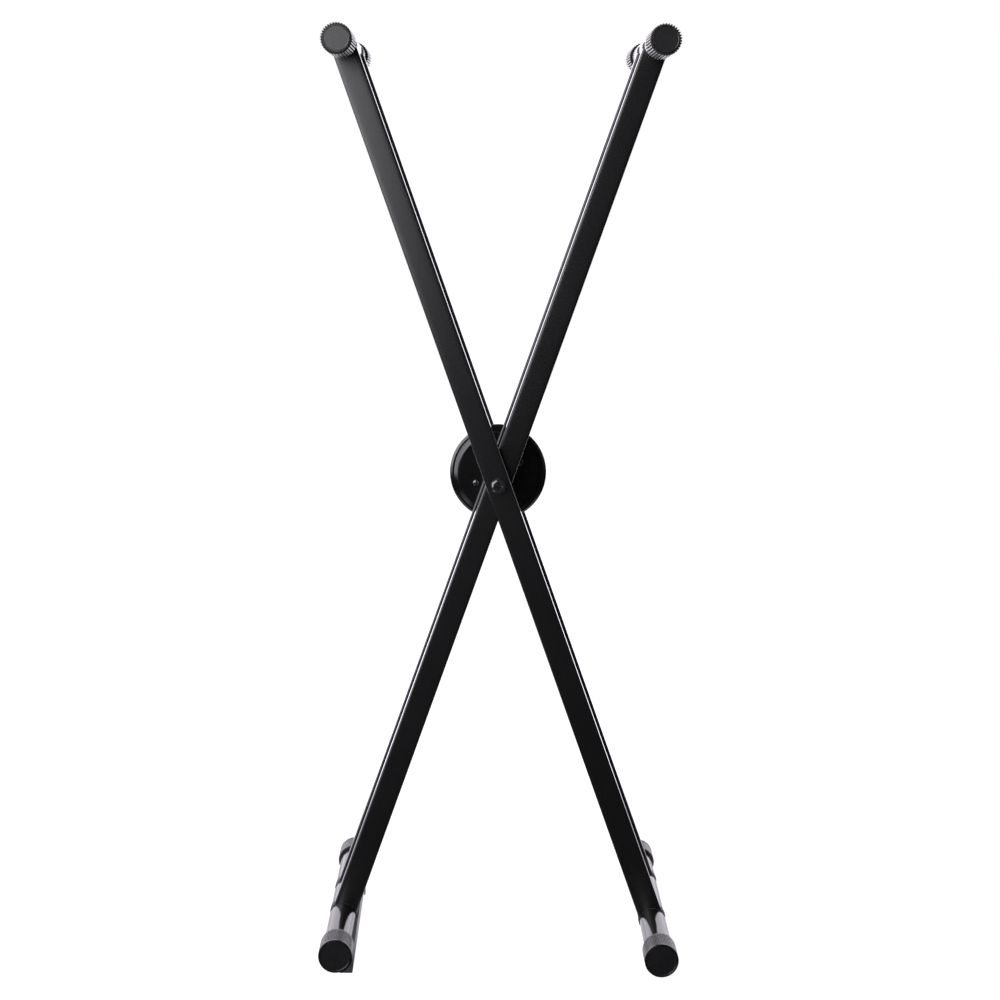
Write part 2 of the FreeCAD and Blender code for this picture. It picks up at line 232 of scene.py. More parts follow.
gripLow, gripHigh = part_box("leg_b_arm_front_grip")
finishes = {
    "leg_paint": coatFinish("satinLegCoat", {
        "dark": (0.0038, 0.0038, 0.0040), "light": (0.0062, 0.0062, 0.0064),
        "gloss": 0.225, "sideGloss": 0.07, "glossDrift": 0.03,
        "peel": 1.6 * mm, "cloud": 60 * mm, "speck": 0.5 * mm, "relief": 0.03}),
    "bar_paint": coatFinish("glossBarCoat", {
        "dark": (0.0030, 0.0030, 0.0031), "light": (0.0055, 0.0055, 0.0057),
        "gloss": 0.15, "glossDrift": 0.04, "coat": 0.1, "coatGloss": 0.05,
        "peel": 1.4 * mm, "cloud": 45 * mm, "speck": 0.5 * mm, "relief": 0.03}),
    "black_steel": coatFinish("blackZinc", {
        "dark": (0.070, 0.070, 0.073), "light": (0.120, 0.120, 0.124), "gloss": 0.10, "glossDrift": 0.06,
        "peel": 0.5 * mm, "cloud": 6 * mm, "speck": 0.2 * mm, "relief": 0.05, "metal": 0.85}),
    "grip_rubber": mouldedFinish("gripRubber", {
        "dark": (0.007, 0.007, 0.0073), "light": (0.012, 0.012, 0.0123), "gloss": 0.27, "glossDrift": 0.08,
        "grain": 0.45 * mm, "bloom": 14 * mm, "relief": 0.08,
        "face": 13.95 * mm, "valley": 15.1 * mm, "crest": 15.9 * mm, "valleyDull": 0.75,
        "axis": ((gripLow.x + gripHigh.x) / 2, (gripLow.z + gripHigh.z) / 2)}),
    "cap_rubber": mouldedFinish("capRubber", {
        "dark": (0.006, 0.006, 0.0063), "light": (0.010, 0.010, 0.0103), "gloss": 0.27, "glossDrift": 0.08,
        "grain": 0.4 * mm, "bloom": 10 * mm, "relief": 0.08}),
    "sole_rubber": mouldedFinish("soleRubber", {
        "dark": (0.028, 0.028, 0.029), "light": (0.042, 0.042, 0.043), "gloss": 0.34, "glossDrift": 0.10,
        "grain": 0.6 * mm, "bloom": 20 * mm, "relief": 0.10}),
    "cover_plastic": mouldedFinish("coverPlastic", {
        "dark": (0.0020, 0.0020, 0.0021), "light": (0.0040, 0.0040, 0.0042),
        "gloss": 0.16, "glossDrift": 0.06, "grain": 0.5 * mm, "bloom": 18 * mm, "relief": 0.05}),
    "knob_plastic": mouldedFinish("knobPlastic", {
        "dark": (0.014, 0.014, 0.0145), "light": (0.026, 0.026, 0.0265), "gloss": 0.42, "glossDrift": 0.08,
        "grain": 0.6 * mm, "bloom": 12 * mm, "relief": 0.25}),
    "slip_nylon": mouldedFinish("slipNylon", {
        "dark": (0.60, 0.58, 0.53), "light": (0.74, 0.73, 0.69), "gloss": 0.45, "glossDrift": 0.08,
        "grain": 0.5 * mm, "bloom": 8 * mm, "relief": 0.10}),
    "friction_lining": mouldedFinish("frictionLining", {
        "dark": (0.055, 0.045, 0.036), "light": (0.17, 0.145, 0.115), "gloss": 0.80, "glossDrift": 0.10,
        "grain": 0.9 * mm, "bloom": 1.6 * mm, "relief": 0.40}),
    "plain_steel": metalFinish("zincSteel", {
        "dark": (0.26, 0.26, 0.275), "light": (0.36, 0.36, 0.375), "gloss": 0.36, "line": 0.25 * mm,
        "cloud": 9 * mm, "relief": 0.10}),
    "nut_brass": metalFinish("nutBrass", {
        "dark": (0.60, 0.43, 0.19), "light": (0.76, 0.59, 0.31), "gloss": 0.28, "line": 0.2 * mm,
        "cloud": 7 * mm, "relief": 0.08}),
}
# the legs' paint on the weld beads, darker in colour as painted shade, and rougher
weldShadedCoat = coatFinish("weldCoatPaintedShade", {
    "dark": (0.0020, 0.0020, 0.0021), "light": (0.0040, 0.0040, 0.0042), "gloss": 0.55, "glossDrift": 0.10,
    "peel": 0.9 * mm, "cloud": 5 * mm, "speck": 0.3 * mm, "relief": 0.30})
for node, piece in nodes.items():
    piece.data.materials.clear()
    piece.data.materials.append(finishes[slotOf[node]])
print("finishes made:", len(finishes))

poleRadius = 0.05 * mm


def smoothStep(low, high, x):
    # cubic ease from 0 at low to 1 at high
    t = np.clip((x - low) / (high - low), 0, 1)
    return t * t * (3 - 2 * t)


def roundedLine(corners, closed=False, steps=6):
    # corners (across, along, radius): an arc that touches both sides takes the place of each corner
    points = np.array([corner[:2] for corner in corners], float)
    line = []
    for index, (across, along, radius) in enumerate(corners):
        corner = points[index]
        atEnd = not closed and index in (0, len(corners) - 1)
        if radius == 0 or atEnd:
            line.append(corner[None])
            continue
        before = points[index - 1] - corner
        after = points[(index + 1) % len(points)] - corner
        before = before / np.linalg.norm(before)
        after = after / np.linalg.norm(after)
        half = math.acos(np.clip(before @ after, -1, 1)) / 2
        middle = before + after
        centre = corner + middle / np.linalg.norm(middle) * radius / math.sin(half)
        first = corner + before * radius / math.tan(half) - centre
        last = corner + after * radius / math.tan(half) - centre
        turn = math.pi - 2 * half
        t = np.linspace(0, 1, steps + 1)[:, None]
        line.append(centre + (np.sin((1 - t) * turn) * first + np.sin(t * turn) * last) / math.sin(turn))
    return np.concatenate(line)


def turnedGrid(outline, columns, centre, inward, limit=None, sink=None):
    # each (radius, depth) of the outline is a ring round an axis along Y, cut off at limit(depth, angle)
    # and pushed in by sink(across, up, depth)
    angle = np.arange(columns) * 2 * math.pi / columns - math.pi / 2
    radius = np.repeat(outline[:, :1], columns, axis=1)
    depth = np.repeat(outline[:, 1:2], columns, axis=1)
    if limit is not None:
        radius = np.minimum(radius, limit(depth, angle[None]))
    across = radius * np.cos(angle)
    up = radius * np.sin(angle)
    if sink is not None:
        depth = depth + sink(across, up, depth)
    return np.stack([centre[0] + across, centre[1] + inward * depth, centre[2] + up], axis=-1)


def flutes(radius, depth, count, land):
    # round ridges and hollow grooves: the ridge keeps its radius over its land share, the groove is a
    # cosine dip
    def shape(along, angle):
        phase = np.mod((angle + math.pi / 2) * count / (2 * math.pi) + 0.5, 1) - 0.5
        dip = np.clip((np.abs(phase) - land / 2) / (0.5 - land / 2), 0, 1)
        return radius - depth * (0.5 - 0.5 * np.cos(math.pi * dip)) + 0 * along
    return shape


def hexSides(acrossFlats, corner):
    # distance to the side of a hexagon with a corner up, no farther out than corner
    def shape(along, angle):
        phase = np.mod(angle - math.pi / 2, math.pi / 3) - math.pi / 6
        return np.minimum(acrossFlats / 2 / np.cos(phase), corner) + 0 * along
    return shape


def crossRecess(length, width, depth, floor, slopeFrom=0.72):
    # two crossed slots whose walls slope over the outer share, cut where the surface lies above floor
    def push(across, up, along):
        arms = np.minimum(np.maximum(np.abs(across) * 2 / length, np.abs(up) * 2 / width),
                          np.maximum(np.abs(up) * 2 / length, np.abs(across) * 2 / width))
        return depth * (1 - smoothStep(slopeFrom, 1.0, arms)) * (along < floor)
    return push


def signedVolume(points, triangles):
    a, b, c = (points[triangles[:, k]] for k in range(3))
    return np.einsum("ij,ij->", a, np.cross(b, c)) / 6


def buildPiece(name, surfaces, body, slot, *replaced, sharp=50, finish=None):
    # rings joined by quads; a surface marked loop closes on itself, and a fan shuts the ends of the others
    vertices = []
    faces = []
    start = 0
    for points, loop in surfaces:
        rows, columns = points.shape[:2]
        index = np.arange(rows * columns).reshape(rows, columns)
        flat = points.reshape(-1, 3)
        ring = np.concatenate([index, index[:1]]) if loop else index
        beside = np.roll(ring, -1, axis=1)
        quads = np.stack([ring[:-1], beside[:-1], beside[1:], ring[1:]], axis=-1).reshape(-1, 4)
        triangles = np.zeros((0, 3), int)
        if not loop:
            flat = np.concatenate([flat, points[:1].mean(axis=1), points[-1:].mean(axis=1)])
            first = np.stack([np.full(columns, rows * columns), beside[0], ring[0]], axis=-1)
            last = np.stack([np.full(columns, rows * columns + 1), ring[-1], beside[-1]], axis=-1)
            triangles = np.concatenate([first, last])
        volume = signedVolume(flat, np.concatenate([quads[:, :3], quads[:, [0, 2, 3]], triangles]))
        if volume < 0:
            quads = quads[:, ::-1]
            triangles = triangles[:, ::-1]
        vertices.append(flat)
        faces += (quads + start).tolist() + (triangles + start).tolist()
        start += len(flat)
    mesh = bpy.data.meshes.new(name)
    mesh.from_pydata(np.concatenate(vertices).tolist(), [], faces)
    mesh.polygons.foreach_set("use_smooth", np.ones(len(mesh.polygons), bool))
    mesh.set_sharp_from_angle(angle=math.radians(sharp))
    mesh.materials.append(finish or finishes[slot])
    piece = bpy.data.objects.new(name, mesh)
    bpy.context.scene.collection.objects.link(piece)
    evened = piece.modifiers.new("evenNormals", "WEIGHTED_NORMAL")
    evened.keep_sharp = True
    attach(piece, body)
    if replaced:
        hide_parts(*replaced)
    return piece


def sleevePlace(node, frontEnd):
    # outer end on the axis, inward direction and length of a sleeve along Y
    low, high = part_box(node)
    x = (low.x + high.x) / 2
    z = (low.z + high.z) / 2
    return ((x, low.y if frontEnd else high.y, z), 1 if frontEnd else -1, high.y - low.y)


armGrip = {"radius": 16.2 * mm, "bore": 13.55 * mm, "floor": 3 * mm, "lip": 0.9 * mm, "lipHeight": 0.4 * mm,
           "groove": (13.2 * mm, 13.95 * mm), "grooveDepth": 2.4 * mm, "rimDepth": 0.6 * mm,
           "slopeDepth": 1.9 * mm, "edge": 0.4 * mm, "mouth": 0.5 * mm, "edgeSteps": 7, "flutes": 34,
           "fluteDepth": 1.95 * mm, "land": 0.32, "columns": 34 * 16}
footCap = {"radius": 17.75 * mm, "bore": 14.45 * mm, "floor": 3 * mm, "lip": 0.6 * mm, "lipHeight": 0.4 * mm,
           "groove": (15.95 * mm, 16.5 * mm), "grooveDepth": 1.5 * mm, "rimDepth": 0.0,
           "slopeDepth": 0.15 * mm, "edge": 0.35 * mm, "mouth": 0.3 * mm, "edgeSteps": 5, "band": 2.6 * mm,
           "bandEnd": (0.999, 1.12), "ribs": 66, "ribDepth": 0.70 * mm, "land": 0.24, "columns": 66 * 12}


def sleeveOutline(size, length):
    # sunk face, raised lip, ring groove, rounded outer edge, long wall, mouth, bore and floor
    grooveInner, grooveOuter = size["groove"]
    slant = 0.1 * mm
    return roundedLine([
        (poleRadius, size["lipHeight"], 0),
        (grooveInner - size["lip"], size["lipHeight"], 0.2 * mm),
        (grooveInner - 0.5 * size["lip"], 0, 0.2 * mm),
        (grooveInner, 0, 0.12 * mm),
        (grooveInner + slant, size["grooveDepth"], 0.1 * mm),
        (grooveOuter, size["grooveDepth"], 0.1 * mm),
        (grooveOuter + slant, size["rimDepth"], 0.08 * mm),
        (size["radius"], size["slopeDepth"], size["edge"]),
        (size["radius"], length, size["mouth"]),
        (size["bore"], length, 0.3 * mm),
        (size["bore"], size["floor"], 0.4 * mm),
        (poleRadius, size["floor"], 0),
    ], steps=size["edgeSteps"])


gripRidges = flutes(armGrip["radius"], armGrip["fluteDepth"], armGrip["flutes"], armGrip["land"])
capRidges = flutes(footCap["radius"], footCap["ribDepth"], footCap["ribs"], footCap["land"])


def ribbed(depth, angle):
    # the ribs of a cap start behind a plain band
    return np.where(depth < footCap["band"], footCap["radius"], capRidges(depth, angle))


for leg in ("leg_a", "leg_b"):
    for end in ("front", "rear"):
        node = leg + "_arm_" + end + "_grip"
        centre, inward, length = sleevePlace(node, end == "front")
        grid = turnedGrid(sleeveOutline(armGrip, length), armGrip["columns"], centre, inward, gripRidges)
        buildPiece("flutedGrip_" + leg + "_" + end, [(grid, False)], leg, "grip_rubber", node)

        node = leg + "_foot_" + end + "_cap"
        centre, inward, length = sleevePlace(node, end == "front")
        outline = sleeveOutline(footCap, length)
        wall = np.argmax(outline[:, 1] > footCap["band"])
        bandRows = np.array([[footCap["radius"], footCap["band"] * share] for share in footCap["bandEnd"]])
        outline = np.concatenate([outline[:wall], bandRows, outline[wall:]])
        grid = turnedGrid(outline, footCap["columns"], centre, inward, ribbed)
        buildPiece("ribbedCap_" + leg + "_" + end, [(grid, False)], leg, "cap_rubber", node)
print("grips and caps made")

pivot = Vector(frame["joints"][0]["pos_m"])
stand = {"lean": math.radians(19.54), "toArm": 497 * mm, "toFoot": 509 * mm, "tubeWidth": 26.4 * mm,
         "tubeDepth": 18 * mm, "tubeCorner": 1.4 * mm, "cornerSteps": 12, "faceCrown": 0.05 * mm,
         "edgeCrown": 0.28 * mm, "sideCrown": 0.08 * mm, "armSeat": 13.6 * mm, "footSeat": 14.5 * mm,
         "columns": 220, "rows": 28, "endRings": (0.25, 0.5, 0.75)}
weld = {"face": 0.4 * mm, "side": 0.8 * mm, "above": 2.5 * mm, "past": 1.0 * mm, "lumps": 1.0 * mm,
        "coarse": (31, 0.6), "fine": (47, 0.4), "fineShift": 1.3, "ripple": (83, 0.2), "rippleShift": 4.1,
        "calm": 0.8, "steps": 300, "sides": 20}


def tubeSection(count):
    # rounded rectangle walked at an even pace; each face sinks with the square of the way from its middle,
    # the broad ones also with its eighth power, which bends only their edges
    halfWidth = stand["tubeWidth"] / 2
    halfDepth = stand["tubeDepth"] / 2
    corner = stand["tubeCorner"]
    outline = roundedLine([(halfWidth, -halfDepth, corner), (halfWidth, halfDepth, corner),
                           (-halfWidth, halfDepth, corner), (-halfWidth, -halfDepth, corner)],
                          closed=True, steps=stand["cornerSteps"])
    loop = np.concatenate([outline, outline[:1]])
    run = np.concatenate([[0], np.cumsum(np.linalg.norm(np.diff(loop, axis=0), axis=1))])
    pace = np.linspace(0, run[-1], count, endpoint=False)
    u = np.interp(pace, run, loop[:, 0])
    y = np.interp(pace, run, loop[:, 1])
    fall = stand["faceCrown"] * (u / halfWidth) ** 2 + stand["edgeCrown"] * (u / halfWidth) ** 8
    crownedY = y * (1 - fall / halfDepth)
    crownedU = u * (1 - stand["sideCrown"] / halfWidth * (y / halfDepth) ** 2)
    return crownedU, crownedY


def legPlace(side, front, u, y, s):
    # across, through and along the leaning leg to the stand's own axes
    lean = side * stand["lean"]
    x = u * math.cos(lean) + s * math.sin(lean) + pivot.x
    z = -u * math.sin(lean) + s * math.cos(lean) + pivot.z
    return np.stack(np.broadcast_arrays(x, y + front + stand["tubeDepth"] / 2, z), axis=-1)


def seatDepth(radius, u):
    # how far the round seat for a bar stands from the bar's axis
    return np.sqrt(np.maximum(radius ** 2 - u ** 2, 0))


def legTube(side, front):
    # the section carried along the leg between two round seats, whose hollow faces close the ends
    u, y = tubeSection(stand["columns"])
    shrink = np.array(stand["endRings"])[:, None]
    t = np.linspace(0, 1, stand["rows"])[:, None]
    bottom = seatDepth(stand["footSeat"], u) - stand["toFoot"]
    top = stand["toArm"] - seatDepth(stand["armSeat"], u)
    foot = seatDepth(stand["footSeat"], shrink * u) - stand["toFoot"]
    arm = stand["toArm"] - seatDepth(stand["armSeat"], shrink * u)
    rings = [legPlace(side, front, shrink * u, shrink * y, foot),
             legPlace(side, front, u[None], y[None], bottom + (top - bottom) * t),
             legPlace(side, front, shrink[::-1] * u, shrink[::-1] * y, arm[::-1])]
    return np.concatenate(rings)


def weldBead(side, front, atArm):
    # a lumpy bead carried round the line where the leg meets the bar; on the narrow sides it runs on down the
    # bar's flank, pushed out to the bar's own skin, until just past the bar's middle
    u, y = tubeSection(weld["steps"])
    du = np.roll(u, -1) - np.roll(u, 1)
    dy = np.roll(y, -1) - np.roll(y, 1)
    length = np.hypot(du, dy)
    outU, outY = dy / length, -du / length
    lap = np.arange(weld["steps"]) / weld["steps"] * 2 * math.pi
    coarseCount, coarseShare = weld["coarse"]
    fineCount, fineShare = weld["fine"]
    rippleCount, rippleShare = weld["ripple"]
    lumps = coarseShare * np.sin(coarseCount * lap + side)
    lumps = lumps + fineShare * np.sin(fineCount * lap + weld["fineShift"] * front)
    lumps = np.maximum(lumps, 0) ** 3 + rippleShare * np.sin(rippleCount * lap + weld["rippleShift"])
    flank = outU ** 2
    thick = weld["face"] + (weld["side"] - weld["face"]) * flank
    thick = thick + weld["lumps"] * lumps * (1 - weld["calm"] * flank)
    bar = stand["armSeat"] if atArm else stand["footSeat"]
    depth = seatDepth(bar, u)
    above = thick + (weld["above"] - thick) * flank
    below = thick + (depth + weld["past"] - thick) * flank
    turn = np.arange(weld["sides"])[None] * 2 * math.pi / weld["sides"]
    rise = np.sin(turn)
    level = depth[:, None] + np.where(rise > 0, above[:, None], below[:, None]) * rise
    flare = thick[:, None] * np.cos(turn)
    flare = flare + flank[:, None] * np.maximum(seatDepth(bar, level) - np.abs(u)[:, None], 0)
    height = stand["toArm"] - level if atArm else level - stand["toFoot"]
    flaredU = u[:, None] + outU[:, None] * flare
    flaredY = y[:, None] + outY[:, None] * flare
    return legPlace(side, front, flaredU, flaredY, height)


for leg, side in (("leg_a", -1), ("leg_b", 1)):
    for tube in ("front", "rear"):
        node = leg + "_" + tube + "_tube"
        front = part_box(node)[0].y
        buildPiece("legTube_" + leg + "_" + tube, [(legTube(side, front), False)], leg, "leg_paint", node)
        for atArm in (True, False):
            name = "weld_" + leg + "_" + tube + ("_arm" if atArm else "_foot")
            bead = weldBead(side, front, atArm)
            buildPiece(name, [(bead, True)], leg, "leg_paint", sharp=180, finish=weldShadedCoat)
print("leg tubes and weld beads made")

bolt = {"acrossFlats": 15 * mm, "corner": 8.45 * mm, "head": 5.5 * mm, "chamfer": 1.4 * mm,
        "chamferWidth": 1.4 * mm, "shank": 5 * mm, "tipLength": 1 * mm, "tipNarrowing": 0.8 * mm,
        "underEdge": 0.3 * mm, "recessLength": 8.4 * mm, "recessWidth": 2.0 * mm, "recessDepth": 2.2 * mm,
        "recessFloor": 0.02 * mm, "middle": 0.02 * mm, "rimGap": 0.1 * mm, "rimDrop": 0.03 * mm,
        "faceRows": 60, "slopeRows": 24, "columns": 288}
low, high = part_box("pivot_bolt")
rimRadius = bolt["acrossFlats"] / 2 - bolt["chamferWidth"]
face = np.stack([np.linspace(bolt["middle"], rimRadius - bolt["rimGap"], bolt["faceRows"]),
                 np.zeros(bolt["faceRows"])], axis=-1)
slope = np.stack([np.linspace(rimRadius, bolt["corner"], bolt["slopeRows"]),
                  np.linspace(bolt["rimDrop"], bolt["chamfer"], bolt["slopeRows"])], axis=-1)
boltLength = high.y - low.y
shank = roundedLine([
    (bolt["corner"], bolt["head"] - bolt["underEdge"], 0),
    (bolt["corner"] - bolt["underEdge"], bolt["head"], 0.1 * mm),
    (bolt["shank"], bolt["head"], 0.2 * mm),
    (bolt["shank"], boltLength - bolt["tipLength"], 0.3 * mm),
    (bolt["shank"] - bolt["tipNarrowing"], boltLength, 0.2 * mm),
    (poleRadius, boltLength, 0),
])
boltRecess = crossRecess(bolt["recessLength"], bolt["recessWidth"], bolt["recessDepth"], bolt["recessFloor"])
boltGrid = turnedGrid(np.concatenate([face, slope, shank]), bolt["columns"], (pivot.x, low.y, pivot.z), 1,
                      hexSides(bolt["acrossFlats"], bolt["corner"]), boltRecess)
buildPiece("pivotBolt", [(boltGrid, False)], "leg_a", "black_steel", "pivot_bolt", sharp=28)

clutchScrew = {"head": 3.5 * mm, "height": 2.2 * mm, "dome": 0.9 * mm, "shank": 2 * mm, "length": 4.5 * mm,
               "recessLength": 3.9 * mm, "recessWidth": 0.95 * mm, "recessDepth": 1.2 * mm, "count": 4,
               "ring": 27.44 * mm}
soleScrew = {"head": 5 * mm, "height": 2.2 * mm, "dome": 1.4 * mm, "shank": 2 * mm, "length": 11 * mm,
             "recessLength": 4.8 * mm, "recessWidth": 1.2 * mm, "recessDepth": 1.6 * mm, "sunk": 1.2 * mm}
screwMesh = {"domeRows": 48, "domeStart": 0.01, "rimGap": 0.05 * mm, "tipLength": 0.6 * mm, "tipShare": 0.6,
             "recessFloor": 0.4, "columns": 120}


def panScrew(size):
    # low elliptical dome, straight rim, underside and plain shank; depth 0 is under the head
    t = np.linspace(screwMesh["domeStart"], 1, screwMesh["domeRows"])[:, None]
    dome = np.concatenate([size["head"] * np.sin(t * math.pi / 2), -size["height"]
                           + size["dome"] * (1 - np.cos(t * math.pi / 2))], axis=1)
    rest = roundedLine([
        (size["head"], size["dome"] - size["height"] + screwMesh["rimGap"], 0),
        (size["head"], 0, 0.15 * mm),
        (size["shank"], 0, 0.1 * mm),
        (size["shank"], size["length"] - screwMesh["tipLength"], 0.2 * mm),
        (size["shank"] * screwMesh["tipShare"], size["length"], 0.1 * mm),
        (poleRadius, size["length"], 0),
    ], steps=4)
    recess = crossRecess(size["recessLength"], size["recessWidth"], size["recessDepth"],
                         -size["height"] * screwMesh["recessFloor"])
    return turnedGrid(np.concatenate([dome, rest]), screwMesh["columns"], (0, 0, 0), 1, sink=recess)


lowCover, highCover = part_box("clutch_cover")
screwSurfaces = []
for index in range(clutchScrew["count"]):
    angle = stand["lean"] + math.pi / 4 + index * 2 * math.pi / clutchScrew["count"]
    offset = np.array([clutchScrew["ring"] * math.sin(angle), lowCover.y,
                       pivot.z + clutchScrew["ring"] * math.cos(angle)])
    screwSurfaces.append((panScrew(clutchScrew) + offset, False))
buildPiece("clutchScrewSet", screwSurfaces, "leg_b", "black_steel", "clutch_screws", sharp=35)

low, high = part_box("sole_screw")
upright = panScrew(soleScrew)
across = np.stack([-upright[..., 1], upright[..., 0], upright[..., 2]], axis=-1)
seat = np.array([high.x - soleScrew["height"] - soleScrew["sunk"], (low.y + high.y) / 2,
                 (low.z + high.z) / 2])
buildPiece("soleScrew", [(across + seat, False)], "leg_b", "plain_steel", "sole_screw", sharp=35)
print("bolt and screws made")

cover = {"radius": 54.25 * mm, "step": 51.75 * mm, "stepInner": 49.5 * mm, "shoulder": 46.2 * mm,
         "shoulderRound": 10 * mm, "bevel": 2 * mm, "inside": 45.75 * mm, "floor": 2 * mm, "bore": 5.05 * mm,
         "columns": 256}
coverDepth = highCover.y - lowCover.y
coverLine = roundedLine([
    (cover["bore"], 0, 0.1 * mm),
    (cover["shoulder"], 0, cover["shoulderRound"]),
    (cover["stepInner"], cover["bevel"], 0.5 * mm),
    (cover["step"], cover["bevel"], 0.7 * mm),
    (cover["radius"], 2 * cover["bevel"], 0.8 * mm),
    (cover["radius"], coverDepth, 0.4 * mm),
    (cover["inside"], coverDepth, 0.4 * mm),
    (cover["inside"], cover["floor"], 0.3 * mm),
    (cover["bore"], cover["floor"], 0.1 * mm),
], closed=True, steps=8)
coverGrid = turnedGrid(coverLine, cover["columns"], (pivot.x, lowCover.y, pivot.z), 1)
buildPiece("clutchCover", [(coverGrid, True)], "leg_b", "cover_plastic", "clutch_cover")

knob = {"radius": 28 * mm, "lobes": 7, "lobeDepth": 4.2 * mm, "land": 0.30, "edge": 3.4 * mm, "boss": 13 * mm,
        "bossHeight": 3 * mm, "nutFlats": 17.1 * mm, "nutDepth": 8 * mm, "bore": 5.05 * mm,
        "boreDepth": 11 * mm, "capRadius": 12.05 * mm, "capDepth": 2.5 * mm, "capLip": 1.2 * mm,
        "lipDepth": 0.5 * mm, "bossWall": 1 * mm, "slack": 0.01 * mm, "columns": 336}
low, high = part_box("knob_body")
knobDepth = high.y - low.y
knobCorner = knob["nutFlats"] / math.sqrt(3)
knobLine = roundedLine([
    (poleRadius, knob["boreDepth"], 0),
    (knob["bore"], knob["boreDepth"], 0.2 * mm),
    (knob["bore"], knob["nutDepth"], 0.2 * mm),
    (knobCorner, knob["nutDepth"], 0.05 * mm),
    (knobCorner, 0, 0.05 * mm),
    (knob["boss"], 0, 0.5 * mm),
    (knob["boss"], knob["bossHeight"], 0.6 * mm),
    (knob["radius"], knob["bossHeight"], knob["edge"]),
    (knob["radius"], knobDepth, knob["edge"]),
    (knob["capRadius"] + knob["capLip"], knobDepth, 0.8 * mm),
    (knob["capRadius"], knobDepth - knob["lipDepth"], 0.2 * mm),
    (knob["capRadius"], knobDepth - knob["capDepth"], 0.1 * mm),
    (poleRadius, knobDepth - knob["capDepth"], 0),
], steps=10)
knobLobes = flutes(knob["radius"], knob["lobeDepth"], knob["lobes"], knob["land"])
knobHex = hexSides(knob["nutFlats"], knobCorner)
pocketRows = ((knobLine[:, 0] < knob["boss"] - knob["bossWall"])
              & (knobLine[:, 1] <= knob["nutDepth"] + knob["slack"]))


def knobLimit(depth, angle):
    # a hexagon inside the nut's pocket, the lobes everywhere else
    return np.where(pocketRows[:, None], knobHex(depth, angle), knobLobes(depth, angle))


knobGrid = turnedGrid(knobLine, knob["columns"], (pivot.x, low.y, pivot.z), 1, knobLimit)
buildPiece("clampKnob", [(knobGrid, False)], "clamp_knob", "knob_plastic", "knob_body", sharp=40)

knobCap = {"radius": 12 * mm, "ring": (9.4 * mm, 8.9 * mm, 8.3 * mm, 7.8 * mm), "ringDepth": 0.5 * mm,
           "columns": 192}
low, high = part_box("knob_cap")
capDepth = high.y - low.y
ringOuter, ringOuterFloor, ringInnerFloor, ringInner = knobCap["ring"]
capLine = roundedLine([
    (poleRadius, 0, 0),
    (knobCap["radius"], 0, 0.2 * mm),
    (knobCap["radius"], capDepth, 0.6 * mm),
    (ringOuter, capDepth, 0.5 * mm),
    (ringOuterFloor, capDepth - knobCap["ringDepth"], 0.3 * mm),
    (ringInnerFloor, capDepth - knobCap["ringDepth"], 0.3 * mm),
    (ringInner, capDepth, 0.5 * mm),
    (poleRadius, capDepth, 0),
])
capGrid = turnedGrid(capLine, knobCap["columns"], (pivot.x, low.y, pivot.z), 1)
buildPiece("knobCap", [(capGrid, False)], "clamp_knob", "knob_plastic", "knob_cap")
print("clutch cover and knob made")

sole = {"capRadius": 17.9 * mm, "barRadius": 14.5 * mm, "underCap": 40.15 * mm, "bottomRound": 1.2 * mm,
        "innerRound": 0.15 * mm, "topRound": 0.18 * mm, "frontRound": 0.25 * mm, "endRound": 0.8 * mm,
        "endSteps": ((1.0, 0.0), (0.3, 0.3), (0.0, 0.8)), "taper": 2.2 * mm, "arcRows": 40}
low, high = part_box("foot_sole_strip")
capLow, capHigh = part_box("leg_b_foot_front_cap")
footX = (capLow.x + capHigh.x) / 2
footZ = (capLow.z + capHigh.z) / 2
soleLength = high.y - low.y


def soleSection(hollow, inset, narrowing):
    # square outer corner, level top and bottom, and a round hollow that hugs the bar; inset draws the skin in
    left = low.x - footX + inset
    right = high.x - footX - inset - narrowing
    bottom = low.z - footZ + inset
    top = high.z - footZ - inset
    reach = hollow + inset
    start = math.atan2(top, math.sqrt(reach ** 2 - top ** 2))
    stop = -math.acos(left / reach)
    bend = np.linspace(start, stop, sole["arcRows"])[:, None]
    arc = reach * np.concatenate([np.cos(bend), np.sin(bend)], axis=1)
    square = roundedLine([(left, bottom, sole["innerRound"]), (right, bottom, sole["bottomRound"]),
                          (right, top, sole["topRound"]), (arc[0, 0], arc[0, 1], 0),
                          (arc[-1, 0], arc[-1, 1], 0)], closed=True)
    return np.concatenate([square[:-2], arc])


soleRows = [(0.0, sole["capRadius"], sole["frontRound"]), (sole["frontRound"], sole["capRadius"], 0.0),
            (sole["underCap"], sole["capRadius"], 0.0), (sole["underCap"], sole["barRadius"], 0.0)]
for back, inset in sole["endSteps"]:
    soleRows.append((soleLength - back * sole["endRound"], sole["barRadius"], inset * sole["endRound"]))
soleRings = []
for run, hollow, inset in soleRows:
    section = soleSection(hollow, inset, sole["taper"] * run / soleLength)
    soleRings.append(np.stack([footX + section[:, 0], np.full(len(section), low.y + run),
                               footZ + section[:, 1]], axis=-1))
buildPiece("soleStrip", [(np.stack(soleRings), False)], "leg_b", "sole_rubber", "foot_sole_strip", sharp=40)
print("sole strip made")

